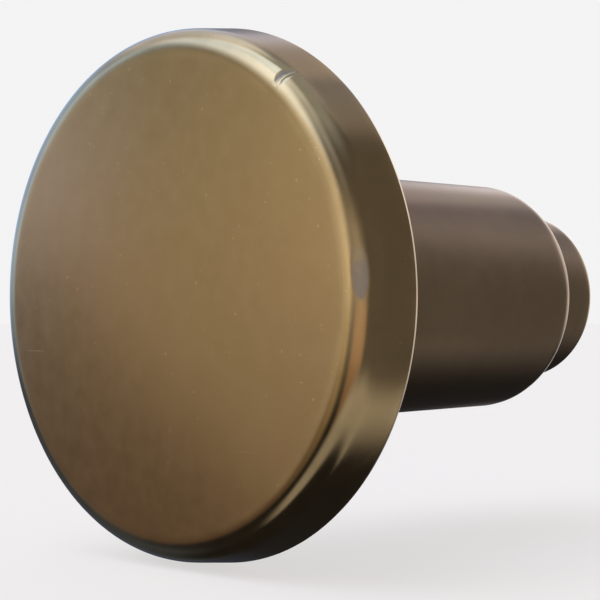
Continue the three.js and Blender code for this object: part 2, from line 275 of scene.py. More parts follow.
def tube(name, path, radius, sides=8, closed=False):
    """A round bar along a list of points, with flat ends."""
    points = [Vector(p) for p in path]
    count = len(points)
    verts, faces = [], []
    side = None
    for i, point in enumerate(points):
        ahead = points[(i + 1) % count] if closed or i < count - 1 else point
        behind = points[i - 1] if closed or i > 0 else point
        along = (ahead - behind).normalized()
        if side is None:
            side = along.orthogonal().normalized()
        side = (side - along * side.dot(along)).normalized()
        other = along.cross(side)
        for k in range(sides):
            a = 2 * math.pi * k / sides
            verts.append(point + radius * (math.cos(a) * side + math.sin(a) * other))
    for i in range(count if closed else count - 1):
        low, high = i * sides, (i + 1) % count * sides
        for k in range(sides):
            k2 = (k + 1) % sides
            faces.append((low + k, low + k2, high + k2, high + k))
    if not closed:
        faces.append(tuple(range(sides))[::-1])
        faces.append(tuple(range((count - 1) * sides, count * sides)))
    return smooth(new_object(name, verts, faces), 60)


def joined(name, objects):
    """Several objects as one, without a boolean."""
    target = objects[0]
    mesh = bmesh.new()
    for obj in objects:
        mesh.from_mesh(obj.data)
    mesh.to_mesh(target.data)
    mesh.free()
    for obj in objects[1:]:
        bpy.data.objects.remove(obj)
    target.name = name
    return target


# Materials


def add(tree, kind, inputs=None, **settings):
    """Adds a shader node. Inputs are values or other nodes' outputs."""
    node = tree.nodes.new("ShaderNode" + kind)
    for key, value in settings.items():
        setattr(node, key, value)
    for key, value in (inputs or {}).items():
        if isinstance(value, bpy.types.NodeSocket):
            tree.links.new(value, node.inputs[key])
        else:
            node.inputs[key].default_value = value
    return node


def math_node(tree, operation, a, b=0.0, clamp=False):
    return add(tree, "Math", {0: a, 1: b}, operation=operation, use_clamp=clamp).outputs[0]


def scaled(tree, value, factor, offset):
    """A value times a factor, plus an offset."""
    inputs = {0: value, 1: factor, 2: offset}
    return add(tree, "Math", inputs, operation="MULTIPLY_ADD").outputs[0]


def dot(tree, a, b):
    return add(tree, "VectorMath", {0: a, 1: b}, operation="DOT_PRODUCT").outputs["Value"]


def mix_colour(tree, factor, a, b):
    node = add(tree, "Mix", {"Factor": factor, 6: a, 7: b}, data_type="RGBA")
    return node.outputs[2]


def smooth_range(tree, value, low, high):
    """0 below low, 1 above high and a smooth step between."""
    node = add(tree, "MapRange", {"Value": value, 1: low, 2: high}, interpolation_type="SMOOTHSTEP")
    return node.outputs[0]


def noise(tree, place, scale, detail=3.0, rough=0.5):
    inputs = {"Vector": place, "Scale": scale, "Detail": detail, "Roughness": rough}
    return add(tree, "TexNoise", inputs).outputs[0]


def stretched(tree, place, turn, scale):
    """Coordinates turned and then scaled unevenly, for marks with a direction."""
    node = add(tree, "Mapping", {"Vector": place, "Rotation": turn, "Scale": scale})
    return node.outputs[0]


def rgb(r, g, b):
    return (r, g, b, 1.0)


def new_material(name):
    material = bpy.data.materials.new(name)
    material.use_nodes = True
    tree = material.node_tree
    tree.nodes.clear()
    place = add(tree, "TexCoord").outputs["Object"]
    return material, tree, place


def scratches(tree, place, turn, seed, amount):
    """Long thin marks: noise squeezed hard across one direction, and kept only where it peaks."""
    line_up = stretched(tree, place, turn, (60 + seed, 2600, 2600))
    lines = noise(tree, line_up, 1.0, 1.0)
    patch = noise(tree, place, 90.0 + seed, 1.0)
    peak = smooth_range(tree, lines, 0.735, 0.77)
    return math_node(tree, "MULTIPLY", peak, smooth_range(tree, patch, 0.62 - amount, 0.70 - amount))


def finish_surface(material, tree, colour, roughness, height, depth, metallic=1.0):
    """Joins colour, roughness and bump to a shader, a metal one unless told otherwise."""
    bump = add(tree, "Bump", {"Height": height, "Strength": 1.0, "Distance": depth})
    look = {"Base Color": colour, "Metallic": metallic, "Roughness": roughness}
    shader = add(tree, "BsdfPrincipled", {**look, "Normal": bump.outputs[0]})
    out = add(tree, "OutputMaterial")
    tree.links.new(shader.outputs[0], out.inputs[0])
    return material


def patina(tree, place, light, dark, warm, tarnish_and_reflection_patches):
    """The tarnish's colour. The patches are (centre, reach, colour, strength): patches of tarnish colour,
    which also paint in reflected studio light.
    """
    broad = noise(tree, place, 26.0, 1.0)
    colour = mix_colour(tree, smooth_range(tree, broad, 0.35, 0.66), dark, light)
    blush = smooth_range(tree, noise(tree, place, 41.0, 1.5), 0.40, 0.75)
    colour = mix_colour(tree, math_node(tree, "MULTIPLY", blush, 0.5), colour, warm)
    # each patch mixes in a tarnish colour that partly paints a reflection of the studio onto the surface
    for centre, size, tint, strength in tarnish_and_reflection_patches:
        away = add(tree, "VectorMath", {0: place, 1: centre}, operation="DISTANCE").outputs["Value"]
        near = smooth_range(tree, away, size, 0.0)
        colour = mix_colour(tree, math_node(tree, "MULTIPLY", near, strength), colour, tint)
    return colour


def bare_places(tree, place, marks):
    """Where bright metal shows: worn edges, small specks and the scratches."""
    worn = add(tree, "Attribute", attribute_name="wear").outputs["Fac"]
    uneven = smooth_range(tree, noise(tree, place, 150.0, 4.0), 0.30, 0.68)
    worn = math_node(tree, "MULTIPLY", worn, uneven, clamp=True)
    speck = smooth_range(tree, noise(tree, place, 1100.0, 1.0), 0.755, 0.80)
    bright = math_node(tree, "MAXIMUM", worn, math_node(tree, "MULTIPLY", speck, 0.8))
    return math_node(tree, "MAXIMUM", bright, math_node(tree, "MULTIPLY", marks, 0.55))


def antique_bronze(name, light, dark, warm, roughness, tarnish_and_reflection_patches=()):
    """Oiled and tarnished bronze, with its marks of use."""
    material, tree, place = new_material(name)
    mottle = noise(tree, place, 260.0, 5.0, 0.6)
    shade = scaled(tree, mottle, 0.16, 0.92)
    colour = patina(tree, place, light, dark, warm, tarnish_and_reflection_patches)
    colour = add(tree, "VectorMath", {0: colour, 1: shade}, operation="MULTIPLY").outputs[0]
    marks = scratches(tree, place, (0.4, 0.3, 0.5), 0.0, 0.06)
    marks = math_node(tree, "ADD", marks, scratches(tree, place, (1.2, 0.1, 2.0), 17.0, 0.02), True)
    bright = bare_places(tree, place, marks)
    colour = mix_colour(tree, math_node(tree, "MULTIPLY", bright, 0.75), colour, BARE_BRONZE)
    scuff = add(tree, "Attribute", attribute_name="rubbed").outputs["Fac"]
    scuff = math_node(tree, "MULTIPLY", scuff, smooth_range(tree, mottle, 0.22, 0.50))
    colour = mix_colour(tree, scuff, colour, RUBBED_BRONZE)
    rough = scaled(tree, mottle, 0.10, roughness - 0.05)
    rough = scaled(tree, scuff, 0.16, rough)
    rough = scaled(tree, bright, -0.05, rough)
    grain = noise(tree, place, 3200.0, 3.0, 0.65)
    wave = math_node(tree, "MULTIPLY", noise(tree, place, 70.0, 2.0), 6.0)
    height = scaled(tree, grain, 0.22, wave)
    height = math_node(tree, "SUBTRACT", height, math_node(tree, "MULTIPLY", marks, 0.8))
    return finish_surface(material, tree, colour, rough, height, 4e-6)


def turned_metal(name, base, shadow, roughness):
    """Bare metal with the fine rings that a lathe leaves."""
    material, tree, place = new_material(name)
    stain = smooth_range(tree, noise(tree, place, 120.0, 5.0, 0.6), 0.40, 0.75)
    colour = mix_colour(tree, math_node(tree, "MULTIPLY", stain, 0.7), base, shadow)
    worn = add(tree, "Attribute", attribute_name="wear").outputs["Fac"]
    lit = tuple(min(1.0, c * 1.25) for c in base[:3]) + (1.0,)
    colour = mix_colour(tree, math_node(tree, "MULTIPLY", worn, 0.6), colour, lit)
    parts = add(tree, "SeparateXYZ", {0: place})
    flat = add(tree, "CombineXYZ", {0: parts.outputs[0], 2: parts.outputs[2]}).outputs[0]
    radius = add(tree, "VectorMath", {0: flat}, operation="LENGTH").outputs["Value"]
    rings = add(tree, "CombineXYZ", {0: radius, 1: parts.outputs[1]}).outputs[0]
    lines = noise(tree, rings, 5200.0, 2.0)
    rough = scaled(tree, lines, 0.16, roughness - 0.08)
    return finish_surface(material, tree, colour, rough, lines, 2.5e-6)


def soft_material(name, base, dusty, roughness, scale, depth):
    """Rubber or fibre: dull, faintly dusty and finely pitted."""
    material, tree, place = new_material(name)
    dust = smooth_range(tree, noise(tree, place, 180.0, 5.0, 0.6), 0.45, 0.80)
    colour = mix_colour(tree, dust, base, dusty)
    pits = noise(tree, place, scale, 4.0, 0.6)
    rough = scaled(tree, pits, 0.2, roughness - 0.1)
    return finish_surface(material, tree, colour, rough, pits, depth, metallic=0.0)


BARE_BRONZE = rgb(0.72, 0.53, 0.26)
RUBBED_BRONZE = rgb(0.34, 0.31, 0.27)


def head_bronze():
    """The head's patina, with painted reflections on its face: pinker towards its upper left, browner
    towards its lower left.
    """
    y = (FACE_Y + RIM_Y) * MM
    r = HEAD_R * MM
    # painted reflection: these patches are partly tarnish and partly stand in for studio light reflected
    # on the face
    tarnish_and_reflection_patches = [
        ((-0.70 * r, y, 0.45 * r), 0.9 * r, rgb(0.49, 0.335, 0.20), 0.6),
        ((0.45 * r, y, 0.35 * r), 1.0 * r, rgb(0.455, 0.32, 0.135), 0.7),
    ]
    return antique_bronze(
        "head_bronze",
        rgb(0.47, 0.33, 0.155),
        rgb(0.445, 0.31, 0.145),
        rgb(0.48, 0.32, 0.16),
        0.15,
        tarnish_and_reflection_patches,
    )


def barrel_bronze():
    return antique_bronze(
        "barrel_bronze",
        rgb(0.45, 0.325, 0.18),
        rgb(0.40, 0.285, 0.155),
        rgb(0.46, 0.31, 0.19),
        0.22,
    )


MATERIALS = {
    "patina_bronze": head_bronze(),
    "dark_bronze": barrel_bronze(),
    "bright_bronze": turned_metal("bright_bronze", rgb(0.62, 0.44, 0.20), rgb(0.34, 0.21, 0.09), 0.30),
    "stainless_steel": turned_metal("stainless_steel", rgb(0.56, 0.56, 0.55), rgb(0.35, 0.34, 0.32), 0.28),
    "black_rubber": soft_material(
        "black_rubber", rgb(0.018, 0.018, 0.019), rgb(0.06, 0.058, 0.055), 0.62, 2400.0, 6e-6
    ),
    "fibre": soft_material("fibre", rgb(0.14, 0.045, 0.028), rgb(0.22, 0.10, 0.07), 0.75, 1800.0, 8e-6),
}


def dress(obj, node, body, slot):
    """Stands an object for a node of the frame, on its body and in its material."""
    obj.name = node + "_fine"
    obj.data.name = obj.name
    obj.data.materials.clear()
    obj.data.materials.append(MATERIALS[slot])
    obj.data.polygons.foreach_set("material_index", [0] * len(obj.data.polygons))
    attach(obj, body)
    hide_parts(node)
    return obj


# The moving head

NICK_TURN = math.radians(38)  # a crescent dent across the front edge, near the top
NICK_MIDDLE = math.radians(52)  # how far round the edge its middle is, from the face
NICK_HALF = 2.3  # half its length, in millimetres, as the next sizes are
NICK_WIDTH = 1.5
NICK_BOW = 1.0
NICK_DEPTH = 0.24
NICK_SLOPE = 0.72  # the share of its width that its long slope takes
GROOVE_DEPTH = 0.08
GROOVE_GAP = 0.55
GROOVE_WIDTH = 0.2
LEAF_TURN = math.radians(85.5)  # a rubbed leaf shape along the front edge, at the +X side
LEAF_MIDDLE = math.radians(44)
LEAF_HALF = 4.6
LEAF_WIDTH = 1.3
LEAF_DEPTH = 0.17
LEAF_GREY = 0.75  # the most that each mark is rubbed grey
NICK_GREY = 0.6
# a middle, a half width and a step, in radians, for the finer turns at each mark
FINE_TURNS = ((NICK_TURN, 0.078, 0.0026), (LEAF_TURN, 0.12, 0.005))


def edge_angle(r, y):
    """How far round the front edge a point is: 0 at the face and a right angle at the side wall."""
    return math.atan2(r - (HEAD_R - EDGE_R), FACE_Y + EDGE_R - y)


def nick(turn, r, y):
    """A crescent with a steep lower side, and a thin groove below it."""
    across = (edge_angle(r, y) - NICK_MIDDLE) * EDGE_R / NICK_HALF
    taper = max(0.0, 1 - across**2)
    along = (turn - NICK_TURN) * HEAD_R + NICK_BOW * taper
    place = along / (NICK_WIDTH * math.sqrt(taper) + 0.01)
    crescent = min(max(0.0, place / NICK_SLOPE), max(0.0, (1 - place) / (1 - NICK_SLOPE)), 1.0)
    groove = math.exp(-(((along - NICK_WIDTH - GROOVE_GAP) / GROOVE_WIDTH) ** 2))
    return taper * (NICK_DEPTH * crescent + GROOVE_DEPTH * groove)


def leaf(turn, r, y):
    """The rubbed leaf shape: 1 at its middle, 0 at its outline and beyond."""
    along = (turn - LEAF_TURN) * HEAD_R / LEAF_HALF
    across = (edge_angle(r, y) - LEAF_MIDDLE) * EDGE_R / LEAF_WIDTH
    return max(0.0, 1 - along**2 - across**2)


def on_edge(r, y):
    """Whether a point is near the front edge, where the marks are."""
    return FACE_Y - 0.1 < y < FACE_Y + EDGE_R + 3 and r > HEAD_R - 2 * EDGE_R


def knocks(turn, r, y):
    """How far the head's front edge is dented."""
    return nick(turn, r, y) + LEAF_DEPTH * leaf(turn, r, y) if on_edge(r, y) else 0.0


def rubbed(turn, r, y):
    """Where the head's front edge is scuffed grey."""
    if not on_edge(r, y):
        return 0.0
    return max(LEAF_GREY * min(1.0, 5 * leaf(turn, r, y)), min(NICK_GREY, 4 * nick(turn, r, y)))


def head_turns():
    """Even turns round the head, with finer ones where the edge is dented."""
    turns = even_turns(300)
    for middle, half, step in FINE_TURNS:
        count = round(2 * half / step)
        turns += [middle - half + step * k for k in range(count + 1)]
    return sorted({round(t % (2 * math.pi), 4) for t in turns})


def head_cap():
    inner = RIM_R - 2.6
    boss = 9
    boss_end = reach("spindle_pin", 1, 1) + 1.15
    hole = SPINDLE_R + GAP
    outside = [
        (0, FACE_Y, 0),
        (HEAD_R - 12, FACE_Y, 0),
        (HEAD_R, FACE_Y, EDGE_CURVE_R),
        (RIM_R, -RIM_CHAMFER[1], 0.15),
        (RIM_R - RIM_CHAMFER[0], 0, 0.1),
        (inner, 0, 0.4),
        (inner - 1.4, INNER_FACE_Y, 2),
        (SEAL_WALL_R, INNER_FACE_Y, 0.3),
        (SEAL_WALL_R, PAD_Y, 0.3),
        (SEAL_R + GAP, PAD_Y, 0.3),
        (SEAL_R + GAP, INNER_FACE_Y, 0),
        (PAD_R, INNER_FACE_Y, 0),
        (PAD_R, PAD_Y, 0.3),
        (boss, PAD_Y, 0.8),
        (boss, boss_end, 0.6),
        (hole, boss_end, 0.3),
        (hole, INNER_FACE_Y + 0.4, 0),
        (0, INNER_FACE_Y + 0.4, 0),
    ]
    cap = spin(
        "head",
        outside,
        turns=head_turns(),
        spacing=0.4,
        press=knocks,
        rub=rubbed,
        fullness=EDGE_FULLNESS,
    )
    pin_hole = [(0, -14, 0), (PIN_HOLE_R, -14, 0), (PIN_HOLE_R, 14, 0), (0, 14, 0)]
    boolean(cap, lie_along_x(spin("tool", pin_hole), PIN_Y), "DIFFERENCE")
    return dress(smooth(cap), "head_cap", "head", "patina_bronze")


def seal_ring():
    back = INNER_FACE_Y + GAP
    lip = FLANGE_Y - GAP
    lip_in = SEAL_R - 3.4
    corners = [
        (PAD_R + GAP, back, 0.2),
        (SEAL_R, back, 0.3),
        (SEAL_R, lip, 1.0),
        (lip_in, lip, 0.9),
        (lip_in, PAD_Y - GAP, 0.2),
        (PAD_R + GAP, PAD_Y - GAP, 0.2),
    ]
    return dress(spin("seal", corners, True), "seal_ring", "head", "black_rubber")


def ring_of(make, radius, count, first=0.0):
    """Copies of a small tool, set on a ring about Y."""
    tools = []
    for i in range(count):
        tools.append(turn_about_y(shift(make(), x=radius), first + 2 * math.pi * i / count))
    return joined("tool", tools)


def seal_retainer():
    low, high = reach("seal_retainer", 0, 1), reach("seal_retainer", 1, 1)
    inner, outer, hole_r = 10, reach("seal_retainer", 1, 2), 1.7
    plate = spin("retainer", washer_profile(inner, outer, low, high), True)
    hole = [(0, low - 1, 0), (hole_r, low - 1, 0), (hole_r, high + 1, 0), (0, high + 1, 0)]
    tools = ring_of(lambda: spin("tool", hole, turns=even_turns(32)), SCREW_RING_R, 4, math.pi / 4)
    boolean(plate, tools, "DIFFERENCE")
    return dress(smooth(plate), "seal_retainer", "head", "bright_bronze")


def retainer_screws():
    under, top = reach("seal_retainer", 1, 1) + GAP, reach("retainer_screw_1", 1, 1)
    shank_r, head_r = 1.2, 2.75
    corners = [
        (0, FACE_Y + 1.7, 0),
        (shank_r, FACE_Y + 2.2, 0),
        (shank_r, under, 0),
        (head_r, under, 0.2),
        (head_r, top, 0.9),
        (0, top, 0),
    ]
    for i in range(4):
        screw = spin("screw", corners, turns=even_turns(48), spacing=0.4)
        for half in ((1.35, 0.3), (0.3, 1.35)):
            slot = box("tool", (-half[0], top - 1.1, -half[1]), (half[0], top + 1, half[1]))
            boolean(screw, slot, "DIFFERENCE")
        turn_about_y(shift(screw, x=SCREW_RING_R), math.pi / 4 + i * math.pi / 2)
        dress(smooth(screw), f"retainer_screw_{i + 1}", "head", "stainless_steel")


def thread_depth(phase):
    """How deep a trapezoidal thread is at a place in its pitch, from 0 to 1."""
    from_crest = abs((phase % 1.0) - 0.5) * 2
    return min(1.0, max(0.0, (from_crest - 0.36) / 0.28))


def spindle():
    """A rod with a right-hand trapezoidal thread from below the head's boss to its end."""
    start, end = reach("spindle", 0, 1), reach("spindle", 1, 1)
    thread_start, step, sides = -1.0, 0.2, 64
    rows = round((end - start) / step)
    verts, faces = [(0, start, 0)], []
    for i in range(rows + 1):
        y = start + (end - start) * i / rows
        chamfer = min(1.0, y - start + 0.2, end - y + 0.2)
        lead_in = min(1.0, max(0.0, (y - thread_start) / 2))
        for k in range(sides):
            a = 2 * math.pi * k / sides
            cut = THREAD_DEPTH * lead_in * thread_depth(y / THREAD_PITCH - k / sides)
            r = min(SPINDLE_R - cut, SPINDLE_R - THREAD_DEPTH + chamfer)
            verts.append((r * math.sin(a), y, r * math.cos(a)))
    for i in range(rows):
        for k in range(sides):
            low, high, k2 = 1 + i * sides, 1 + (i + 1) * sides, (k + 1) % sides
            faces.append((low + k, low + k2, high + k2, high + k))
    verts.append((0, end, 0))
    top = 1 + rows * sides
    for k in range(sides):
        k2 = (k + 1) % sides
        faces.append((0, 1 + k2, 1 + k))
        faces.append((top + k, top + k2, len(verts) - 1))
    rod = new_object("spindle", verts, faces)
    for y, radius in ((PIN_Y, PIN_HOLE_R), (SPLIT_PIN_Y, SPLIT_PIN_HOLE_R)):
        hole = [(0, -8, 0), (radius, -8, 0), (radius, 8, 0), (0, 8, 0)]
        boolean(rod, lie_along_x(spin("tool", hole, turns=even_turns(32)), y), "DIFFERENCE")
    return dress(smooth(rod, 35), "spindle", "head", "bright_bronze")


def spindle_pin():
    half, pin_r = reach("spindle_pin", 1, 0), 1.2
    corners = [(0, -half, 0), (pin_r, -half, 0.35), (pin_r, half, 0.35), (0, half, 0)]
    pin = lie_along_x(spin("pin", corners, turns=even_turns(40)), PIN_Y)
    return dress(pin, "spindle_pin", "head", "stainless_steel")


def stop_nut():
    """A hexagon nut: each ring of points is a hexagon, drawn in where the chamfer cone cuts it."""
    low, high = reach("stop_nut", 0, 1), reach("stop_nut", 1, 1)
    corner = NUT_FLATS / math.sqrt(3)
    hole = SPINDLE_R + GAP
    sides = 144
    levels = [0, 0.1, 0.25, 0.45, 0.7, 1.0, 1.4]
    heights = [low + h for h in levels] + [high - h for h in reversed(levels)]
    outline = [(hole, high - 0.5), (hole, low + 0.5), (hole + 0.5, low)]
    outline += [(None, y) for y in heights] + [(hole + 0.5, high)]
    verts, faces = [], []
    for r, y in outline:
        cone = corner - 0.95 + 1.7 * min(y - low, high - y)
        for k in range(sides):
            a = 2 * math.pi * k / sides
            flat = (NUT_FLATS / 2) / math.cos((a + math.pi / 6) % (math.pi / 3) - math.pi / 6)
            radius = r or min(flat, cone, corner - 0.08)
            verts.append((radius * math.sin(a), y, radius * math.cos(a)))
    for i in range(len(outline)):
        low_row, high_row = i * sides, (i + 1) % len(outline) * sides
        for k in range(sides):
            k2 = (k + 1) % sides
            faces.append((low_row + k, low_row + k2, high_row + k2, high_row + k))
    return dress(smooth(new_object("nut", verts, faces), 20), "stop_nut", "head", "bright_bronze")


def split_pin():
    """Two legs side by side through the spindle, bent apart beyond it, and a flat eye."""
    reach_x = SPINDLE_R + 1.4
    step = 0.55
    legs = []
    for side in (-1, 1):
        lane = 0.46 * side
        path = [(-reach_x - 0.3, SPLIT_PIN_Y, lane), (0, SPLIT_PIN_Y, lane), (reach_x, SPLIT_PIN_Y, lane)]
        for k in range(1, 9):
            bend = math.radians(80) * min(1.0, k / 5)
            x, y, z = path[-1]
            path.append((x + step * math.cos(bend), y, z + side * step * math.sin(bend)))
        legs.append(tube("leg", path, 0.44, 12))
    eye_r = 1.9
    middle = -reach_x - eye_r
    eye = []
    for k in range(28):
        a = 2 * math.pi * k / 28
        eye.append((middle + eye_r * math.cos(a), SPLIT_PIN_Y, eye_r * math.sin(a)))
    legs.append(tube("eye", eye, 0.5, 12, closed=True))
    return dress(joined("pin", legs), "split_pin", "head", "stainless_steel")


def thrust_washer():
    low, high = reach("thrust_washer", 0, 1), reach("thrust_washer", 1, 1)
    ring = spin("washer", washer_profile(SPINDLE_R + GAP, BOSS_R, low, high, 0.35), True)
    return dress(ring, "thrust_washer", "washer", "stainless_steel")


# The fixed body


def hull_holes(corners):
    """The ring of tools that cut the holes for the hull screws."""
    return ring_of(
        lambda: spin("tool", corners, turns=even_turns(48)),
        HULL_SCREW_RING_R,
        HULL_SCREWS,
        HULL_SCREW_START,
    )


def hull_barrel():
    groove_low, groove_high, groove_r = 20.6, 22.3, BORE_R + 1.3
    corners = [
        (THROAT_R, FLANGE_Y, 0.8),
        (FLANGE_R, FLANGE_Y, 0.9),
        (FLANGE_R, 0, 0.5),
        (BARREL_R, 0, 1.6),
        (BARREL_R, BARREL_END, SHOULDER_R),
        (SOCKET_R, BARREL_END, 0.18),
        (SOCKET_R, BARREL_END - SOCKET_L, 0.2),
        (BORE_R, BARREL_END - SOCKET_L, 0.2),
        (BORE_R, groove_high, 0.1),
        (groove_r, groove_high, 0),
        (groove_r, groove_low, 0),
        (BORE_R, groove_low, 0.1),
        (BORE_R, THROAT_END, 0.2),
        (THROAT_R, THROAT_END, 0.4),
    ]
    barrel = spin("barrel", corners, True, turns=even_turns(288), spacing=1.2)
    bore = [
        (0, FLANGE_Y - 1, 0),
        (HULL_SINK_R + 1, FLANGE_Y - 1, 0),
        (HULL_SINK_R, FLANGE_Y, 0),
        (HULL_HOLE_R, FLANGE_Y + HULL_SINK_R - HULL_HOLE_R, 0),
        (HULL_HOLE_R, 1, 0),
        (0, 1, 0),
    ]
    boolean(barrel, hull_holes(bore), "DIFFERENCE")
    return dress(smooth(barrel), "hull_barrel", "hull_body", "dark_bronze")


def hull_gasket():
    low, high = reach("hull_gasket", 0, 1), reach("hull_gasket", 1, 1)
    ring = spin("gasket", washer_profile(BARREL_R + 2.3, FLANGE_R, low, high, 0.35), True)
    hole_r = HULL_HOLE_R + 0.2
    hole = [(0, low - 1, 0), (hole_r, low - 1, 0), (hole_r, high + 1, 0), (0, high + 1, 0)]
    boolean(ring, hull_holes(hole), "DIFFERENCE")
    return dress(smooth(ring), "hull_gasket", "hull_body", "black_rubber")


def bridge():
    low, high = reach("bridge", 0, 1), reach("bridge", 1, 1)
    outer = BORE_R - GAP
    hole = BUSH_R + GAP
    arm_high, arm_half = high - 3, 2.75
    body = spin("bridge", washer_profile(outer - 2, outer, low, high - GAP, 0), True, even_turns(96))
    boss = spin("tool", washer_profile(hole, BOSS_R, low, high, 0), True, even_turns(96))
    boolean(body, boss, "UNION")
    for half_x, half_z in ((outer - 1, arm_half), (arm_half, outer - 1)):
        bar = box("tool", (-half_x, low + 0.01, -half_z), (half_x, arm_high, half_z))
        boolean(body, bar, "UNION")
    bore = [(0, low - 1, 0), (hole, low - 1, 0), (hole, high + 1, 0), (0, high + 1, 0)]
    boolean(body, spin("tool", bore, turns=even_turns(96)), "DIFFERENCE")
    return dress(bevel(body, 0.35), "bridge", "hull_body", "bright_bronze")


def spindle_bush():
    low, high = reach("spindle_bush", 0, 1), reach("spindle_bush", 1, 1)
    inner = SPINDLE_R + GAP
    groove, groove_r = (low + 7.2, low + 9.1), inner + 1.6
    corners = [
        (inner, low, 0.3),
        (BUSH_HEAD_R, low, 0.4),
        (BUSH_HEAD_R, low + 2, 0.2),
        (BUSH_R, low + 2, 0),
        (BUSH_R, high, 0.6),
        (inner, high, 0.3),
        (inner, groove[1], 0),
        (groove_r, groove[1], 0),
        (groove_r, groove[0], 0),
        (inner, groove[0], 0),
    ]
    return dress(spin("bush", corners, True), "spindle_bush", "hull_body", "bright_bronze")


def o_ring(node, section):
    """A ring of round section that fills its node's box."""
    middle = (reach(node, 0, 1) + reach(node, 1, 1)) / 2
    radius = reach(node, 1, 2) - section
    corners = []
    for k in range(20):
        a = 2 * math.pi * k / 20
        corners.append((radius + section * math.cos(a), middle + section * math.sin(a), 0))
    return dress(spin(node, corners, True), node, "hull_body", "black_rubber")


def snap_ring():
    """A flat ring, open at the bottom, with a drilled lug each side of its gap."""
    low, high = reach("bridge_snap_ring", 0, 1), reach("bridge_snap_ring", 1, 1)
    outer, inner = BORE_R + 0.95, BORE_R - 1.6
    gap_half, lug_r, eye_r = 3.6, 2.2, 0.8
    ring = spin("snap", washer_profile(inner, outer, low, high, 0), True, even_turns(144))
    boolean(ring, box("tool", (-gap_half, low - 1, -22), (gap_half, high + 1, -10)), "DIFFERENCE")
    for side in (-1, 1):
        lug = [(0, low, 0), (lug_r, low, 0), (lug_r, high, 0), (0, high, 0)]
        hole = [(0, low - 1, 0), (eye_r, low - 1, 0), (eye_r, high + 1, 0), (0, high + 1, 0)]
        place = {"x": 5.6 * side, "z": 1 - inner}
        boolean(ring, shift(spin("tool", lug, turns=even_turns(40)), **place), "UNION")
        boolean(ring, shift(spin("tool", hole, turns=even_turns(40)), **place), "DIFFERENCE")
    return dress(bevel(ring, 0.12), "bridge_snap_ring", "hull_body", "stainless_steel")


def gauze_screen():
    """Plain-woven wires, each passing over and under the ones across it, in a pressed rim."""
    low, high = reach("gauze_screen", 0, 1), reach("gauze_screen", 1, 1)
    middle, wire, pitch = (low + high) / 2, 0.17, 1.7
    rim_r = reach("gauze_screen", 1, 2)
    reach_r = rim_r - 1.2
    rows = int(reach_r / pitch)
    parts = [spin("rim", washer_profile(rim_r - 2, rim_r, low, high, 0.2), True)]
    for way in range(2):
        for i in range(-rows, rows + 1):
            offset = i * pitch
            half = math.sqrt(reach_r**2 - offset**2)
            steps = max(4, round(2 * half / (pitch / 4)))
            path = []
            for k in range(steps + 1):
                along = -half + 2 * half * k / steps
                phase = math.pi * (along / pitch + i + way)
                y = middle + wire * math.cos(phase)
                path.append((along, y, offset) if way == 0 else (offset, y, along))
            parts.append(tube("wire", path, wire, 6))
    return dress(joined("gauze", parts), "gauze_screen", "hull_body", "stainless_steel")


def screen_washer():
    low, high = reach("screen_washer", 0, 1), reach("screen_washer", 1, 1)
    ring = spin("fibre", washer_profile(SOCKET_R - 3.4, SOCKET_R - GAP, low, high, 0.2), True)
    return dress(ring, "screen_washer", "hull_body", "fibre")


def hose_tail():
    socket = SOCKET_R - GAP
    groove, groove_r = (TAIL_START + 2, TAIL_START + 4.6), socket - 1.9
    step_y = BARREL_END - 0.4
    corners = [
        (TAIL_BORE_R, TAIL_START, 1.2),
        (socket, TAIL_START, 0.6),
        (socket, groove[0], 0),
        (groove_r, groove[0], 0),
        (groove_r, groove[1], 0),
        (socket, groove[1], 0),
        (socket, step_y, 0.15),
        (TAIL_R, step_y, 0.15),
        (TAIL_R, TAIL_END, 1.9),
        (TAIL_BORE_R, TAIL_END, 0.5),
    ]
    tail = spin("tail", corners, True, turns=even_turns(240), spacing=1.0)
    return dress(tail, "hose_tail", "hull_body", "dark_bronze")


# The studio


def panel(tree, aim, place, half, soft, tilt, colour):
    """One soft-edged patch of light. Its place is its azimuth (0 along -Y, 90 along +X) and elevation."""
    a = math.radians(place[0])
    ahead = dot(tree, aim["level"], (math.sin(a), -math.cos(a), 0))
    aside = dot(tree, aim["level"], (math.cos(a), math.sin(a), 0))
    turn = math_node(tree, "DEGREES", math_node(tree, "ARCTAN2", aside, ahead))
    rise = math_node(tree, "SUBTRACT", aim["elevation"], place[1])
    offset = add(tree, "CombineXYZ", {0: turn, 1: rise}).outputs[0]
    if tilt:
        turned = {"Vector": offset, "Angle": -math.radians(tilt)}
        offset = add(tree, "VectorRotate", turned, rotation_type="Z_AXIS").outputs[0]
    offset = add(tree, "VectorMath", {0: offset}, operation="ABSOLUTE").outputs[0]
    parts = add(tree, "SeparateXYZ", {0: offset})
    across = smooth_range(tree, parts.outputs[0], half[0] + soft[0], half[0] - soft[0])
    up = smooth_range(tree, parts.outputs[1], half[1] + soft[1], half[1] - soft[1])
    strength = math_node(tree, "MULTIPLY", across, up)
    return add(tree, "VectorMath", {0: colour, "Scale": strength}, operation="SCALE").outputs[0]


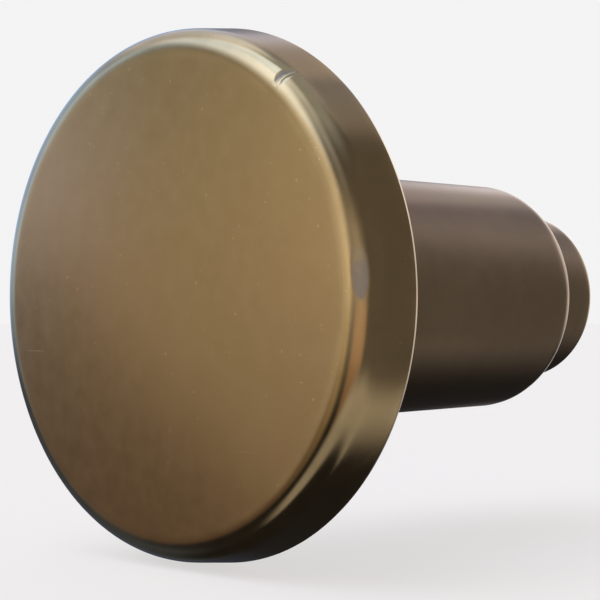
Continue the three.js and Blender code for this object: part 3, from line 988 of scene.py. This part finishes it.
# (azimuth, elevation), half its width and height, its softness, tilt, colour; angles in degrees
PANELS = [
    ((0, 90), (360, 33), (1, 13), 0, (0.42, 0.50, 0.70)),  # open sky overhead
    ((-94, 12), (37, 14), (6, 6), 0, (0.46, 0.74, 1.30)),  # cool low windows to the left
    ((-96, 52), (42, 24), (12, 8), 0, (0.76, 0.90, 1.28)),  # taller ones above them
    ((-34, 59), (26, 34), (14, 12), 0, (0.95, 1.35, 2.45)),  # a high window in front
    ((8, 60), (24, 24), (24, 12), 0, (0.55, 0.66, 0.95)),  # its softer side, towards +X
    ((-24, 26), (18, 28), (14, 8), 0, (0.74, 0.74, 0.78)),  # the pale wall below it
    ((18, 8), (40, 18), (32, 14), 0, (0.43, 0.42, 0.44)),  # the wall's dimmer part, towards +X
    ((-46, 4), (14, 7), (4, 2), -45, (0.20, 0.19, 0.17)),  # a slanting glow on the flat face
    ((-48.5, -1), (12, 1.3), (3, 1.2), -48, (0.08, 0.07, 0.065)),  # a thin streak in that glow
    ((-48, -6), (16, 12), (6, 6), 0, (0.13, 0.09, 0.07)),  # a dim warm patch behind the two
    ((100, 6), (72, 45), (20, 12), 0, (0.14, 0.135, 0.145)),  # the room to the right
    ((38, -14), (30, 13), (10, 8), 0, (0.38, 0.24, 0.15)),  # a brown table
    ((62, -42), (84, 12), (8, 6), 0, (0.42, 0.43, 0.47)),  # a lit strip of floor
    ((-92, -20), (38, 26), (12, 12), 0, (0.05, 0.075, 0.13)),  # a dim cool floor to the left
    ((174, 36), (20, 26), (8, 8), 0, (0.22, 0.22, 0.30)),  # a window behind
    ((208, 32), (16, 22), (7, 8), 0, (0.48, 0.46, 0.52)),  # a brighter one beside it
    ((190, 6), (24, 18), (6, 8), 0, (0.85, 0.82, 0.86)),  # and a lower one
    ((-22, -6), (9, 10), (7, 6), 0, (0.28, 0.21, 0.10)),  # a warm glow along the front edge
    ((-60, 12), (10, 10), (4, 2.5), 0, (0.18, 0.24, 0.36)),  # the lit edge of the low windows
]
BACKGROUND = (0.022, 0.022, 0.025)


def studio_light():
    """A dark studio with soft panels, seen only in what the metal reflects."""
    world = bpy.data.worlds.new("studio")
    world.use_nodes = True
    tree = world.node_tree
    tree.nodes.clear()
    toward = add(tree, "TexCoord").outputs["Generated"]
    parts = add(tree, "SeparateXYZ", {0: toward})
    level = add(tree, "CombineXYZ", {0: parts.outputs[0], 1: parts.outputs[1]}).outputs[0]
    level = add(tree, "VectorMath", {0: level}, operation="NORMALIZE").outputs[0]
    elevation = math_node(tree, "DEGREES", math_node(tree, "ARCSINE", parts.outputs[2]))
    aim = {"level": level, "elevation": elevation}
    total = BACKGROUND
    for place, half, soft, tilt, colour in PANELS:
        light = panel(tree, aim, place, half, soft, tilt, colour)
        total = add(tree, "VectorMath", {0: total, 1: light}, operation="ADD").outputs[0]
    shine = add(tree, "Background", {"Color": total, "Strength": 1.0})
    out = add(tree, "OutputWorld")
    tree.links.new(shine.outputs[0], out.inputs[0])
    bpy.context.scene.world = world


def pale(name, glow, albedo):
    """A pale surface, mostly lit by itself, that shows shadows faintly."""
    material = bpy.data.materials.new(name)
    material.use_nodes = True
    tree = material.node_tree
    tree.nodes.clear()
    base = add(tree, "BsdfDiffuse", {"Color": albedo})
    lamp = add(tree, "Emission", {"Color": rgb(1, 1, 1), "Strength": glow})
    both = add(tree, "AddShader", {0: base.outputs[0], 1: lamp.outputs[0]})
    out = add(tree, "OutputMaterial")
    tree.links.new(both.outputs[0], out.inputs[0])
    return material


def stage():
    """A pale floor under the rim and a pale dome behind, which the metal doesn't reflect."""
    floor_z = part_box("head_cap")[0][2] - 0.0002
    bpy.ops.mesh.primitive_circle_add(vertices=96, radius=3.0, fill_type="NGON", location=(0, 0, floor_z))
    floor = bpy.context.object
    floor.data.materials.append(pale("floor", 0.62, rgb(0.42, 0.33, 0.24)))
    bpy.ops.mesh.primitive_uv_sphere_add(segments=64, ring_count=32, radius=3.0)
    dome = bpy.context.object
    dome.data.materials.append(pale("dome", 0.9, rgb(0, 0, 0)))
    for obj in (floor, dome):
        obj.visible_glossy = False
        obj.visible_diffuse = False
        obj.visible_transmission = False
        obj.visible_shadow = False


def camera():
    """Looks level at the head from its +X side, from a little over six head radii away."""
    aside, below, away = 0.52, 0.017, 6.023  # in head radii, from the middle of the face
    azimuth = math.radians(43.36)
    right = Vector((math.cos(azimuth), math.sin(azimuth), 0))
    ahead = Vector((-math.sin(azimuth), math.cos(azimuth), 0))
    up = Vector((0, 0, 1))
    face = Vector((0, (FACE_Y + RIM_Y) * MM, 0))
    data = bpy.data.cameras.new("camera")
    data.sensor_width = 36
    data.lens = 96
    data.clip_start = 0.01
    data.clip_end = 20
    obj = bpy.data.objects.new("camera", data)
    bpy.context.scene.collection.objects.link(obj)
    obj.location = face + HEAD_R * MM * (aside * right - below * up - away * ahead)
    obj.rotation_mode = "QUATERNION"
    obj.rotation_quaternion = ahead.to_track_quat("-Z", "Y")
    bpy.context.scene.camera = obj


camera()
studio_light()
stage()
bpy.context.scene.view_settings.view_transform = "Standard"

head_cap()
seal_ring()
seal_retainer()
retainer_screws()
spindle()
spindle_pin()
stop_nut()
split_pin()
thrust_washer()
hull_barrel()
hull_gasket()
bridge()
spindle_bush()
o_ring("spindle_o_ring", 0.6)
o_ring("tail_o_ring", 0.75)
snap_ring()
gauze_screen()
screen_washer()
hose_tail()
